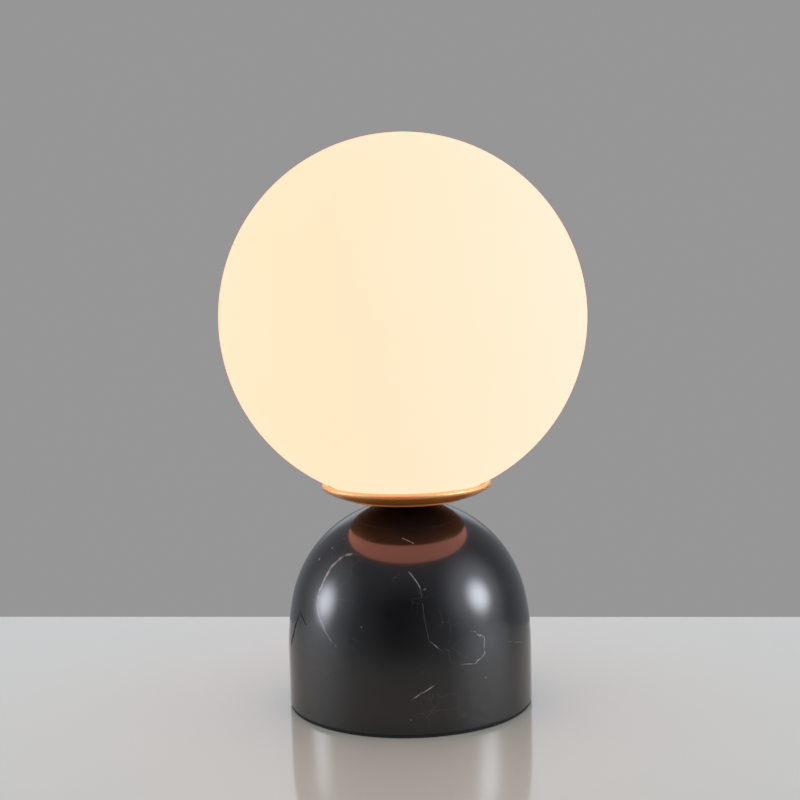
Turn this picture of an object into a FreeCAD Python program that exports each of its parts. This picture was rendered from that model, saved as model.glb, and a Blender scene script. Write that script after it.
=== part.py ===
"""Table lamp: an opal glass globe in a shallow metal dish, on a domed black marble base.

Millimetres, +Z up. The origin is on the table under the middle of the base, and -Y is the front.
Heights named *_z are above the table. Everything round turns about the Z axis.
"""
import FreeCAD, Part

import math
import os

from FreeCAD import Vector

# ---------------------------------------------------------------- driving sizes

# Marble base: a turned dome with a ground underside
base_diameter = 135.0
side_top_z = 32.3            # the straight side ends here and the shoulder begins
crown_z = 112.7              # top of the dome, before its seat is ground flat
shoulder_radius = 137.0      # large arc between the straight side and the crown
base_edge_chamfer = 1.0
recess_diameter = 84.0       # wiring recess in the underside
wiring_room = 7.5            # height left for wires between the cover and the threaded tube
marble_bore_gap = 0.75       # radial, between the marble's bore and the tube

# What closes the underside
pad_thickness = 1.6
pad_inset = 2.0              # the pad stays this far inside the marble's edge
cover_thickness = 2.0
cover_edge = 3.0             # steel left outside the screw heads
rebate_gap = 0.3             # radial, round the cover
anchor_count = 3
anchor_diameter = 7.0
anchor_length = 12.0
anchor_wall = 2.5            # marble left between the recess and a plug

# Countersunk machine screw, M3
screw_diameter = 3.0
screw_head_diameter = 6.0
screw_head_height = 1.7
screw_length = 10.0
screw_slot_width = 0.8
screw_slot_length = 4.0
screw_slot_depth = 1.0

# Hollow threaded tube that clamps the lamp together, M10 x 1, with its nuts and washers
tube_diameter = 10.0
tube_bore_diameter = 7.6
tube_past_nut = 1.5
tube_below_neck = 1.0        # the tube ends this far under the top of the holder's neck
nut_across_flats = 17.0
nut_height = 5.0
soft_washer_diameter = 46.0
soft_washer_thickness = 1.5
clamp_washer_diameter = 42.0
clamp_washer_thickness = 2.5
lock_washer_diameter = 18.0
lock_washer_thickness = 1.6
lock_washer_slit = 1.2

# Cord inlet at the back of the base
inlet_z = 13.0
inlet_hole_diameter = 11.0
inlet_bore_diameter = 7.0
inlet_flange_diameter = 15.0
inlet_flange_thickness = 2.0
inlet_setback = 0.7          # the flange lies this far under the marble's roundness
inlet_flare = 0.8
inlet_overhang = 0.5         # the bush stands this far into the recess

# Spacer and metal dish between dome and globe
spacer_diameter = 30.0
dish_gap = 1.2               # air between the crown and the dish's underside
foot_height = 1.1
dish_wall = 1.2
dish_floor_thickness = 1.4
bead_radius = 1.65           # rolled rim
bead_rise = 7.55             # height of the rim's middle above the dish's underside
dish_flare = 13.1            # from the foot's edge out to the rim's middle
bowl_radius = 26.0           # arc of the dish's outer face, from its foot to its rim

# Glass globe
globe_diameter = 200.0
glass_thickness = 3.0
globe_hole_gap = 2.0         # radial, round the bulb as the globe passes it
glass_edge_radius = 0.8
lip_gap = 0.41               # between the rolled rim and the glass
seat_from_hole = 4.0         # the seat ring starts this far outside the globe's hole
seat_from_bead = 2.45        # and ends this far inside the rolled rim
rest_gap = 0.3               # left between a lifting or turning piece and what it rests on

# Sprung leaves that steady the hole's edge
leaf_count = 3
leaf_width = 9.0
leaf_thickness = 0.5
leaf_start = 14.0            # distance of the leaf's inner end from the axis
leaf_height = 16.0
leaf_lead_in = 4.0           # how far the leaf's top leans inwards
leaf_bend_radius = 1.5
leaf_bend_inset = 2.0        # the leaf's bend stays this far inside the clip plate's edge
clip_plate_thickness = 1.0
clip_plate_inset = 4.0       # the clip plate stays this far inside the globe's hole
rivet_diameter = 3.0
rivet_head_diameter = 5.2
rivet_head_height = 1.0

# Lampholder for an E27 cap
holder_wall = 2.0
sleeve_wall = 1.5            # inner wall round the thread shell
sleeve_air = 1.8             # between the inner wall and the outer wall
sleeve_lift = 4.0            # between the insulator and the inner wall
holder_rim_thickness = 2.5
holder_rim_chamfer = 1.0
holder_lift = 0.5            # between the upper nut and the holder
holder_neck_diameter = 16.0
holder_neck_height = 7.0
holder_cap_height = 24.0
holder_shell_height = 34.0
spigot_height = 6.0
insulator_height = 9.0
insulator_drop = 4.0         # the insulator hangs this far below the cap's rim
insulator_ledge = 1.0        # ledge in the cap that carries the insulator
thread_shell_height = 24.0
thread_shell_wall = 0.5
thread_shell_flange = 2.0    # the shell's floor reaches this far inwards
contact_rise = 2.2
contact_width = 5.0
contact_thickness = 0.6
contact_bend_radius = 0.8
holder_terminal_x = 8.0
holder_terminal_size = 5.0
holder_terminal_height = 5.5
holder_terminal_hole_depth = 3.0

# LED bulb with an E27 cap
bulb_length = 108.0
bulb_diameter = 60.0
bulb_cap_diameter = 26.2
bulb_cap_wall = 0.35
bulb_cap_length = 20.0
bulb_tip_diameter = 9.6
bulb_tip_height = 1.6
bulb_insulator_height = 4.6
bulb_insulator_inset = 1.2   # the insulator's outer face lies this far inside the cap's
bulb_insulator_spigot = 2.0  # height inside the cap
bulb_wall = 1.2
bulb_housing_wall = 1.8
bulb_housing_drop = 14.0     # the housing's rim lies this far under the dome's centre
bulb_housing_fullness = 2.8  # how far the housing swells past a straight cone
bulb_collar_step = 0.6       # the collar stands out this far from the cap
bulb_collar_height = 5.0
bulb_sleeve_length = 12.0    # of the housing inside the cap
board_ledge = 1.4
board_depth = 4.0            # the LED board lies this far under the housing's rim
led_count = 12
led_board_thickness = 1.2
led_radius = 13.0            # from the axis to a chip's near end
led_length = 3.5
led_width = 2.8
led_thickness = 0.7
driver_board_width = 18.0
driver_board_thickness = 1.2
driver_board_lift = 4.0      # above the cap's lower edge
driver_parts_lift = 3.0      # above the cap's upper edge
capacitor_diameter = 8.0
capacitor_length = 10.0
coil_width = 9.0
coil_depth = 7.0
coil_height = 8.0
cap_running_gap = 0.3        # radial, between the bulb's cap and the holder's thread shell

# Inner wiring
wire_diameter = 2.0
wire_spacing = 3.6           # between the two wires in the tube
pole_count = 3
pole_pitch = 8.0
pole_height = 5.0            # of a pole's middle above the cover
pole_screw_diameter = 3.0
pole_screw_sunk = 2.5        # the screws lie this far under the strip's top
pole_slot_width = 0.6
pole_slot_depth = 0.8
block_depth = 16.0
block_height = 12.0
block_to_recess = 4.0        # between the strip's front and the recess's wall, on the middle line
block_wall = 1.75            # plastic past the outer poles
block_screw_diameter = 2.0
barrel_diameter = 4.4
barrel_inset = 1.0           # the barrels end this far inside the strip's faces
wire_in_barrel = 4.0
earth_tag_thickness = 0.8
earth_tongue_start = 1.5     # from the tube to the tongue's root
earth_barrel_diameter = 3.6
earth_barrel_length = 5.0

# Fits
slide_fit = 0.05             # radial, between pieces that slide over each other when assembled
loose_fit = 0.3              # radial, between pieces that only drop in

# ---------------------------------------------------------------- derived heights and radii

base_radius = base_diameter / 2
marble_bottom_z = pad_thickness
cover_top_z = marble_bottom_z + cover_thickness
recess_depth = (cover_thickness + wiring_room + tube_past_nut + nut_height + lock_washer_thickness
                + earth_tag_thickness + clamp_washer_thickness + soft_washer_thickness)
recess_top_z = marble_bottom_z + recess_depth
recess_radius = recess_diameter / 2
cover_screw_circle = recess_diameter + 2 * anchor_wall + anchor_diameter
cover_radius = (cover_screw_circle + screw_head_diameter) / 2 + cover_edge

shoulder_centre_x = base_radius - shoulder_radius
shoulder_rise = crown_z - side_top_z
# The crown arc has its centre on the axis and is tangent inside the shoulder arc.
crown_radius = (shoulder_radius**2 - shoulder_rise**2 - shoulder_centre_x**2) / (
    2 * (shoulder_radius - shoulder_rise))
crown_centre_z = crown_z - crown_radius

spacer_seat_radius = spacer_diameter / 2 + loose_fit
spacer_seat_z = crown_centre_z + math.sqrt(crown_radius**2 - spacer_seat_radius**2)

dish_bottom_z = crown_z + dish_gap
dish_floor_z = dish_bottom_z + dish_floor_thickness
globe_radius = globe_diameter / 2
globe_hole_radius = bulb_diameter / 2 + globe_hole_gap
foot_radius = globe_hole_radius      # the dish stands under the hole's edge
foot_top_z = dish_bottom_z + foot_height
bead_middle = (foot_radius + dish_flare, dish_bottom_z + bead_rise)
globe_centre_z = bead_middle[1] + math.sqrt(
    (globe_radius + lip_gap + bead_radius)**2 - bead_middle[0]**2)

clip_plate_top_z = dish_floor_z + clip_plate_thickness
clip_plate_radius = globe_hole_radius - clip_plate_inset
leaf_bend_x = clip_plate_radius - leaf_bend_inset
rivet_x = (leaf_start + leaf_bend_x) / 2
upper_nut_top_z = clip_plate_top_z + nut_height
holder_z = upper_nut_top_z + holder_lift
holder_rim_z = holder_z + holder_cap_height
holder_top_z = holder_rim_z + holder_shell_height
insulator_bottom_z = holder_rim_z - insulator_drop
insulator_top_z = insulator_bottom_z + insulator_height

soft_washer_z = recess_top_z - soft_washer_thickness
clamp_washer_z = soft_washer_z - clamp_washer_thickness
earth_tag_z = clamp_washer_z - earth_tag_thickness
lock_washer_z = earth_tag_z - lock_washer_thickness
base_nut_z = lock_washer_z - nut_height
tube_bottom_z = base_nut_z - tube_past_nut
tube_top_z = holder_z + holder_neck_height - tube_below_neck

tube_radius = tube_diameter / 2
over_tube_radius = tube_radius + slide_fit
thread_shell_inner_radius = bulb_cap_diameter / 2 + cap_running_gap
thread_shell_outer_radius = thread_shell_inner_radius + thread_shell_wall
sleeve_inner_radius = thread_shell_outer_radius + loose_fit
sleeve_outer_radius = sleeve_inner_radius + sleeve_wall
holder_radius = sleeve_outer_radius + sleeve_air + holder_wall
spigot_radius = holder_radius - holder_wall - slide_fit
spigot_inner_radius = spigot_radius - holder_wall
holder_terminal_z = insulator_bottom_z - holder_terminal_height
tip_z = insulator_top_z + contact_rise + contact_thickness + rest_gap

bulb_cap_radius = bulb_cap_diameter / 2
bulb_sleeve_radius = bulb_cap_radius - bulb_cap_wall - slide_fit
cap_bottom_z = tip_z + bulb_tip_height + bulb_insulator_height
cap_top_z = cap_bottom_z + bulb_cap_length
diffuser_radius = bulb_diameter / 2
diffuser_centre_z = tip_z + bulb_length - diffuser_radius
housing_top_z = diffuser_centre_z - bulb_housing_drop
housing_rim_radius = math.sqrt(diffuser_radius**2 - bulb_housing_drop**2)
housing_rim_inner = housing_rim_radius - bulb_housing_wall
board_z = housing_top_z - board_depth

inlet_flange_front_y = base_radius - inlet_setback
inlet_flange_back_y = inlet_flange_front_y - inlet_flange_thickness
inlet_inner_y = recess_radius - inlet_overhang

block_front_y = block_to_recess - recess_radius
block_back_y = block_front_y + block_depth
block_middle_y = (block_front_y + block_back_y) / 2
block_top_z = cover_top_z + block_height
block_half_width = pole_pitch * (pole_count - 1) / 2 + barrel_diameter / 2 + block_wall
block_screw_radius = block_screw_diameter / 2
pole_z = cover_top_z + pole_height
pole_screw_radius = pole_screw_diameter / 2
pole_places = [pole_pitch * (index - (pole_count - 1) / 2) for index in range(pole_count)]
earth_barrel_radius = earth_barrel_diameter / 2
# The earth's crimp barrel hangs midway between the strip and the nut.
earth_barrel_y = (block_back_y - nut_across_flats / math.sqrt(3)) / 2


# ---------------------------------------------------------------- helpers

def at(point):
    """A (distance from the axis, height) pair as a point in the XZ plane."""
    return Vector(point[0], 0, point[1])


def on_arc(centre, radius, degrees):
    """The pair on a circle, with the angle measured from +X towards +Z."""
    turn = math.radians(degrees)
    return (centre[0] + radius * math.cos(turn), centre[1] + radius * math.sin(turn))


def angle_of(centre, point):
    """The angle in degrees of a pair seen from a circle's centre."""
    return math.degrees(math.atan2(point[1] - centre[1], point[0] - centre[0]))


def arc_between(centre, start, end):
    """The outline step for an arc about centre: its middle and its end."""
    radius = math.hypot(start[0] - centre[0], start[1] - centre[1])
    middle = (angle_of(centre, start) + angle_of(centre, end)) / 2
    return (on_arc(centre, radius, middle), end)


def dome_over(edge, height):
    """The outline step for a shallow spherical cap from a pair to the axis. A cap may hang down."""
    radius = (edge[0]**2 + height**2) / (2 * abs(height))
    centre_z = edge[1] + height - math.copysign(radius, height)
    return arc_between((0, centre_z), edge, (0, edge[1] + height))


def outline(steps):
    """A closed face in the XZ plane. A step is a corner, or an arc's middle and end."""
    edges = []
    here = at(steps[0])
    for step in steps[1:] + [steps[0]]:
        if isinstance(step[0], tuple):
            there = at(step[1])
            edges.append(Part.Arc(here, at(step[0]), there).toShape())
        else:
            there = at(step)
            edges.append(Part.LineSegment(here, there).toShape())
        here = there
    return Part.Face(Part.Wire(edges))


def turned(steps):
    """The solid that an outline sweeps about the Z axis."""
    return outline(steps).revolve(Vector(), Vector(0, 0, 1), 360)


def disc(radius, bottom_z, top_z, x=0, y=0):
    return Part.makeCylinder(radius, top_z - bottom_z, Vector(x, y, bottom_z))


def ring(inner_radius, outer_radius, bottom_z, top_z, x=0, y=0):
    return disc(outer_radius, bottom_z, top_z, x, y).cut(disc(inner_radius, bottom_z, top_z, x, y))


def box(low, high):
    """A block between two corners."""
    return Part.makeBox(high[0] - low[0], high[1] - low[1], high[2] - low[2], Vector(*low))


def around(shape, count, first_degrees=-90.0):
    """Copies of a shape that lies on +X, spaced evenly about the Z axis."""
    copies = []
    for index in range(count):
        copy = shape.copy()
        copy.rotate(Vector(), Vector(0, 0, 1), first_degrees + 360.0 * index / count)
        copies.append(copy)
    return copies


def rounded_path(points):
    """Straight runs joined by tangent arcs, each as large as its two runs allow."""
    share = 0.45
    edges = []
    here = points[0]
    for before, corner, after in zip(points, points[1:], points[2:]):
        inward = (before - corner).normalize()
        outward = (after - corner).normalize()
        half_opening = inward.getAngle(outward) / 2
        trim = share * min((before - corner).Length, (after - corner).Length)
        radius = trim * math.tan(half_opening)
        middle_way = (inward + outward).normalize()
        reach = radius / math.sin(half_opening) - radius
        arc_start = corner + inward * trim
        arc_end = corner + outward * trim
        edges.append(Part.LineSegment(here, arc_start).toShape())
        edges.append(Part.Arc(arc_start, corner + middle_way * reach, arc_end).toShape())
        here = arc_end
    edges.append(Part.LineSegment(here, points[-1]).toShape())
    return Part.Wire(edges)


def wire_along(points):
    """A round insulated wire along a route."""
    path = rounded_path(points)
    section = Part.Wire(Part.Circle(points[0], points[1] - points[0], wire_diameter / 2).toShape())
    pipe = Part.BRepOffsetAPI.MakePipeShell(path)
    pipe.add(section)
    pipe.build()
    pipe.makeSolid()
    solid = pipe.shape()
    expected = math.pi * (wire_diameter / 2)**2 * path.Length
    print("wire", round(path.Length, 1), "mm, volume share", round(solid.Volume / expected, 4))
    return solid


def bent_strip(points, width, bend_radius, thickness):
    """A metal strip that follows points in the XZ plane, with rounded bends and ends."""
    edges = []
    here = at(points[0])
    for before, corner, after in zip(points, points[1:], points[2:]):
        inward = (at(before) - at(corner)).normalize()
        outward = (at(after) - at(corner)).normalize()
        half_opening = inward.getAngle(outward) / 2
        trim = bend_radius / math.tan(half_opening)
        reach = bend_radius / math.sin(half_opening) - bend_radius
        middle_way = (inward + outward).normalize()
        arc_start = at(corner) + inward * trim
        arc_end = at(corner) + outward * trim
        edges.append(Part.LineSegment(here, arc_start).toShape())
        edges.append(Part.Arc(arc_start, at(corner) + middle_way * reach, arc_end).toShape())
        here = arc_end
    edges.append(Part.LineSegment(here, at(points[-1])).toShape())
    side = Part.Face(Part.Wire(edges).makeOffset2D(thickness / 2))
    strip = side.extrude(Vector(0, width, 0))
    strip.translate(Vector(0, -width / 2, 0))
    return strip


def hex_nut(bottom_z, x=0, y=0):
    """A hexagon nut over the threaded tube, with its corners chamfered."""
    corner_radius = nut_across_flats / math.sqrt(3)
    chamfer = corner_radius - nut_across_flats / 2
    corners = []
    for index in range(7):
        turn = math.radians(60 * index)
        corners.append(Vector(corner_radius * math.cos(turn), corner_radius * math.sin(turn), bottom_z))
    block = Part.Face(Part.makePolygon(corners)).extrude(Vector(0, 0, nut_height))
    top_z = bottom_z + nut_height
    rounding = turned([
        (0, bottom_z),
        (corner_radius - chamfer, bottom_z),
        (corner_radius, bottom_z + chamfer / 2),
        (corner_radius, top_z - chamfer / 2),
        (corner_radius - chamfer, top_z),
        (0, top_z)])
    return block.common(rounding).cut(disc(over_tube_radius, bottom_z, top_z))


# ---------------------------------------------------------------- base

def marble_base():
    """The dome: straight side, long shoulder arc and spherical crown, ground flat for the spacer."""
    shoulder_centre = (shoulder_centre_x, side_top_z)
    crown_centre = (0, crown_centre_z)
    tangent_degrees = angle_of(shoulder_centre, crown_centre)
    tangent = on_arc(crown_centre, crown_radius, tangent_degrees)
    side_top = (base_radius, side_top_z)
    seat_edge = (spacer_seat_radius, spacer_seat_z)
    rebate_radius = cover_radius + rebate_gap
    bore_radius = tube_radius + marble_bore_gap
    marble = turned([
        (rebate_radius, marble_bottom_z),
        (base_radius - base_edge_chamfer, marble_bottom_z),
        (base_radius, marble_bottom_z + base_edge_chamfer),
        side_top,
        arc_between(shoulder_centre, side_top, tangent),
        arc_between(crown_centre, tangent, seat_edge),
        (bore_radius, spacer_seat_z),
        (bore_radius, recess_top_z),
        (recess_radius, recess_top_z),
        (recess_radius, cover_top_z),
        (rebate_radius, cover_top_z)])
    inlet = disc(inlet_hole_diameter / 2, 0, base_radius)
    inlet = inlet.fuse(disc(inlet_flange_diameter / 2 + slide_fit, inlet_flange_back_y, base_radius + 1))
    for hole in anchor_holes(anchor_diameter / 2 + slide_fit):
        marble = marble.cut(hole)
    return marble.cut(laid_back(inlet))


def laid_back(shape):
    """Turns a shape made along +Z to run out of the back, along +Y, at the inlet's height."""
    shape.rotate(Vector(), Vector(1, 0, 0), -90)
    shape.translate(Vector(0, 0, inlet_z))
    return shape


def cord_inlet():
    """Flanged bush that lines the cord's hole, flush in the marble."""
    bore_radius = inlet_bore_diameter / 2
    bush_radius = inlet_hole_diameter / 2 - slide_fit
    flange_radius = inlet_flange_diameter / 2
    bush = turned([
        (bore_radius, inlet_inner_y),
        (bush_radius, inlet_inner_y),
        (bush_radius, inlet_flange_back_y),
        (flange_radius, inlet_flange_back_y),
        (flange_radius, inlet_flange_front_y),
        (bore_radius + inlet_flare, inlet_flange_front_y),
        (bore_radius, inlet_flange_front_y - inlet_flare)])
    return laid_back(bush)


def anchor_holes(radius):
    hole = disc(radius, cover_top_z, cover_top_z + anchor_length, cover_screw_circle / 2)
    return around(hole, anchor_count)


def screw_anchors():
    """Plugs set in the marble for the cover's screws."""
    plug = ring(
        screw_diameter / 2 + slide_fit, anchor_diameter / 2,
        cover_top_z, cover_top_z + anchor_length, cover_screw_circle / 2)
    return Part.makeCompound(around(plug, anchor_count))


def cover_plate():
    """Steel disc in the rebate under the recess, countersunk for its screws."""
    plate = disc(cover_radius, marble_bottom_z, cover_top_z)
    plate = plate.cut(Part.makeCompound(around(cover_screw(slide_fit), anchor_count)))
    for x in block_screw_places():
        plate = plate.cut(disc(
            block_screw_radius + slide_fit, marble_bottom_z, cover_top_z, x, block_middle_y))
    return plate


def cover_screw(allowance=0.0):
    """The screw on +X, or the hole it needs when an allowance is given."""
    head_radius = screw_head_diameter / 2 + allowance
    shank_radius = screw_diameter / 2 + allowance
    neck_z = marble_bottom_z + screw_head_height
    screw = turned([
        (0, marble_bottom_z),
        (head_radius, marble_bottom_z),
        (shank_radius, neck_z),
        (shank_radius, marble_bottom_z + screw_length),
        (0, marble_bottom_z + screw_length)])
    if allowance == 0.0:
        half_width = screw_slot_width / 2
        half_length = screw_slot_length / 2
        slot = box(
            (-half_width, -half_length, marble_bottom_z),
            (half_width, half_length, marble_bottom_z + screw_slot_depth))
        screw = screw.cut(slot)
        slot.rotate(Vector(), Vector(0, 0, 1), 90)
        screw = screw.cut(slot)
    screw.translate(Vector(cover_screw_circle / 2, 0, 0))
    return screw


def cover_screws():
    return Part.makeCompound(around(cover_screw(), anchor_count))


def base_pad():
    """Soft pad glued over the underside."""
    return disc(base_radius - pad_inset, 0, pad_thickness)


# ---------------------------------------------------------------- clamping hardware

def threaded_tube():
    return ring(tube_bore_diameter / 2, tube_radius, tube_bottom_z, tube_top_z)


def soft_washer():
    return ring(over_tube_radius, soft_washer_diameter / 2, soft_washer_z, recess_top_z)


def clamp_washer():
    return ring(over_tube_radius, clamp_washer_diameter / 2, clamp_washer_z, soft_washer_z)


def lock_washer():
    washer = ring(over_tube_radius, lock_washer_diameter / 2, lock_washer_z, earth_tag_z)
    slit = box(
        (0, -lock_washer_slit / 2, lock_washer_z),
        (lock_washer_diameter, lock_washer_slit / 2, earth_tag_z))
    return washer.cut(slit)


def base_nut():
    return hex_nut(base_nut_z)


def upper_nut():
    return hex_nut(clip_plate_top_z)


def spacer_washer():
    """Black washer that carries the dish on the flat ground into the crown."""
    return ring(over_tube_radius, spacer_diameter / 2, spacer_seat_z, dish_bottom_z)


# ---------------------------------------------------------------- dish, seat and leaves

def bowl_middle():
    """Centre of the bowl's outer arc, which starts at the foot's edge and is tangent to the rim."""
    across = bead_middle[0] - foot_radius
    up = bead_middle[1] - foot_top_z
    span = math.hypot(across, up)
    along = (bowl_radius**2 - bowl_to_bead**2 + span**2) / (2 * span)
    aside = math.sqrt(bowl_radius**2 - along**2)
    return (
        foot_radius + (along * across - aside * up) / span,
        foot_top_z + (along * up + aside * across) / span)


bowl_to_bead = bowl_radius - bead_radius
bowl_inner_radius = bowl_radius - dish_wall
bowl_centre = bowl_middle()


def on_bowl(radius, from_axis):
    """The pair at a distance from the axis, on an arc about the bowl's centre."""
    return (from_axis, bowl_centre[1] - math.sqrt(radius**2 - (from_axis - bowl_centre[0])**2))


def shade_dish():
    """Shallow pressed bowl with a stepped foot and a rolled rim."""
    foot_edge = (foot_radius, foot_top_z)
    rim_degrees = angle_of(bowl_centre, bead_middle)
    meets_bead = on_arc(bead_middle, bead_radius, rim_degrees)
    # The inner face runs into the rim where the rim's circle crosses it.
    bend = math.degrees(math.acos(
        (bowl_inner_radius**2 - bowl_to_bead**2 - bead_radius**2) / (2 * bowl_to_bead * bead_radius)))
    inner_degrees = rim_degrees + 360 - bend
    inner_meets_bead = on_arc(bead_middle, bead_radius, inner_degrees)
    far_side = on_arc(bead_middle, bead_radius, (rim_degrees + inner_degrees) / 2)
    step_radius = foot_radius - dish_wall
    step_top = on_bowl(bowl_inner_radius, step_radius)
    return turned([
        (over_tube_radius, dish_bottom_z),
        (foot_radius, dish_bottom_z),
        foot_edge,
        arc_between(bowl_centre, foot_edge, meets_bead),
        (far_side, inner_meets_bead),
        arc_between(bowl_centre, inner_meets_bead, step_top),
        (step_radius, dish_floor_z),
        (over_tube_radius, dish_floor_z)])


def seat_ring():
    """Soft ring that fills the space between the bowl and the glass."""
    inner = globe_hole_radius + seat_from_hole
    outer = bead_middle[0] - bead_radius - seat_from_bead
    globe_centre = (0, globe_centre_z)
    bearing_radius = globe_radius + rest_gap

    low_inner = on_bowl(bowl_inner_radius - slide_fit, inner)
    low_outer = on_bowl(bowl_inner_radius - slide_fit, outer)

    def under_glass(radius):
        return (radius, globe_centre_z - math.sqrt(bearing_radius**2 - radius**2))

    return turned([
        low_inner,
        arc_between(bowl_centre, low_inner, low_outer),
        under_glass(outer),
        arc_between(globe_centre, under_glass(outer), under_glass(inner))])


def glass_globe():
    """Blown opal ball with one hole underneath, its edge ground and rounded."""
    inner_radius = globe_radius - glass_thickness
    centre = (0, globe_centre_z)
    outer_edge = (globe_hole_radius, globe_centre_z - math.sqrt(globe_radius**2 - globe_hole_radius**2))
    inner_edge = (globe_hole_radius, globe_centre_z - math.sqrt(inner_radius**2 - globe_hole_radius**2))
    outer_top = (0, globe_centre_z + globe_radius)
    inner_top = (0, globe_centre_z + inner_radius)
    shell = turned([
        outer_edge,
        arc_between(centre, outer_edge, outer_top),
        inner_top,
        arc_between(centre, inner_top, inner_edge)])
    rims = []
    for edge in shell.Edges:
        box_of_edge = edge.BoundBox
        flat = box_of_edge.ZLength < 0.01
        if flat and abs(box_of_edge.XLength / 2 - globe_hole_radius) < 0.01:
            rims.append(edge)
    return shell.makeFillet(glass_edge_radius, rims)


def clip_plate():
    """Steel disc on the dish's floor that carries the leaves."""
    plate = ring(over_tube_radius, clip_plate_radius, dish_floor_z, clip_plate_top_z)
    return plate.cut(Part.makeCompound(around(rivet_hole(dish_floor_z, clip_plate_top_z), leaf_count)))


def rivet_hole(bottom_z, top_z):
    return disc(rivet_diameter / 2 + slide_fit, bottom_z, top_z, rivet_x)


def leaf_springs():
    """Leaves that rise inside the globe's hole, bowed out to its edge and leaning in at the top."""
    foot_z = clip_plate_top_z + leaf_thickness / 2
    bow_radius = globe_hole_radius - rest_gap - leaf_thickness / 2
    bow_z = globe_centre_z - math.sqrt((globe_radius - glass_thickness / 2)**2 - globe_hole_radius**2)
    leaf = bent_strip([
        (leaf_start, foot_z),
        (leaf_bend_x, foot_z),
        (bow_radius, bow_z),
        (bow_radius - leaf_lead_in, foot_z + leaf_height)], leaf_width, leaf_bend_radius, leaf_thickness)
    leaf = leaf.cut(rivet_hole(clip_plate_top_z, clip_plate_top_z + leaf_thickness))
    return Part.makeCompound(around(leaf, leaf_count))


def leaf_rivets():
    shank_top_z = clip_plate_top_z + leaf_thickness
    head_edge = (rivet_head_diameter / 2, shank_top_z)
    rivet = turned([
        (0, dish_floor_z),
        (rivet_diameter / 2, dish_floor_z),
        (rivet_diameter / 2, shank_top_z),
        head_edge,
        dome_over(head_edge, rivet_head_height)])
    rivet.translate(Vector(rivet_x, 0, 0))
    return Part.makeCompound(around(rivet, leaf_count))


# ---------------------------------------------------------------- lampholder

def holder_cap():
    """Lower cover of the lampholder: a threaded neck, a rounded shoulder and a spigot."""
    outer = holder_radius
    neck = holder_neck_diameter / 2
    neck_top_z = holder_z + holder_neck_height
    shoulder_z = holder_z + holder_neck_height / 2
    shoulder_radius_out = outer - neck
    shoulder_radius_in = shoulder_radius_out - holder_wall
    shoulder_centre = (neck, shoulder_z + shoulder_radius_out)
    ledge_inner = spigot_inner_radius - insulator_ledge
    ledge_foot = (ledge_inner, shoulder_centre[1] - math.sqrt(
        shoulder_radius_in**2 - (ledge_inner - neck)**2))
    boss_foot = (neck, shoulder_centre[1] - shoulder_radius_in)
    return turned([
        (over_tube_radius, holder_z),
        (neck, holder_z),
        (neck, shoulder_z),
        arc_between(shoulder_centre, (neck, shoulder_z), (outer, shoulder_centre[1])),
        (outer, holder_rim_z),
        (spigot_radius, holder_rim_z),
        (spigot_radius, holder_rim_z + spigot_height),
        (spigot_inner_radius, holder_rim_z + spigot_height),
        (spigot_inner_radius, insulator_bottom_z),
        (ledge_inner, insulator_bottom_z),
        ledge_foot,
        arc_between(shoulder_centre, ledge_foot, boss_foot),
        (neck, neck_top_z),
        (over_tube_radius, neck_top_z)])


def holder_shell():
    """Upper sleeve: an outer wall, a rim, and an inner wall round the thread shell."""
    outer = holder_radius
    sleeve_bottom_z = insulator_top_z + sleeve_lift
    under_rim_z = holder_top_z - holder_rim_thickness
    return turned([
        (outer - holder_wall, holder_rim_z),
        (outer, holder_rim_z),
        (outer, holder_top_z - holder_rim_chamfer),
        (outer - holder_rim_chamfer, holder_top_z),
        (sleeve_inner_radius, holder_top_z),
        (sleeve_inner_radius, sleeve_bottom_z),
        (sleeve_outer_radius, sleeve_bottom_z),
        (sleeve_outer_radius, under_rim_z),
        (outer - holder_wall, under_rim_z)])


def holder_insulator():
    """Porcelain disc that carries the contacts, with two passages for the contact screws."""
    body = disc(spigot_inner_radius - slide_fit, insulator_bottom_z, insulator_top_z)
    for x in (-holder_terminal_x, holder_terminal_x):
        body = body.cut(disc(screw_diameter / 2 + slide_fit, insulator_bottom_z, insulator_top_z, x))
    return body


def holder_terminals():
    """Two brass blocks under the insulator, each bored from below for its wire."""
    blocks = []
    half = holder_terminal_size / 2
    for x in (-holder_terminal_x, holder_terminal_x):
        block = box((x - half, -half, holder_terminal_z), (x + half, half, insulator_bottom_z))
        hole_top_z = holder_terminal_z + holder_terminal_hole_depth
        hole = disc(wire_diameter / 2 + slide_fit, holder_terminal_z, hole_top_z, x)
        blocks.append(block.cut(hole))
    return Part.makeCompound(blocks)


def holder_contact_screws():
    """Screws through the insulator that pull the terminals and the contacts together."""
    screws = []
    for x in (-holder_terminal_x, holder_terminal_x):
        screws.append(disc(screw_diameter / 2, insulator_bottom_z, insulator_top_z, x))
    return Part.makeCompound(screws)


def centre_contact():
    """Sprung strip from one contact screw up to the bulb's tip, on the middle line."""
    low_z = insulator_top_z + contact_thickness / 2
    high_z = low_z + contact_rise
    screw_radius = screw_diameter / 2
    free_end_x = bulb_tip_diameter / 2 - contact_bend_radius
    slope_foot_x = -holder_terminal_x / 2
    slope_top_x = slope_foot_x + contact_rise
    return bent_strip([
        (-holder_terminal_x - screw_radius, low_z),
        (slope_foot_x, low_z),
        (slope_top_x, high_z),
        (free_end_x, high_z)], contact_width, contact_bend_radius, contact_thickness)


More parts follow.
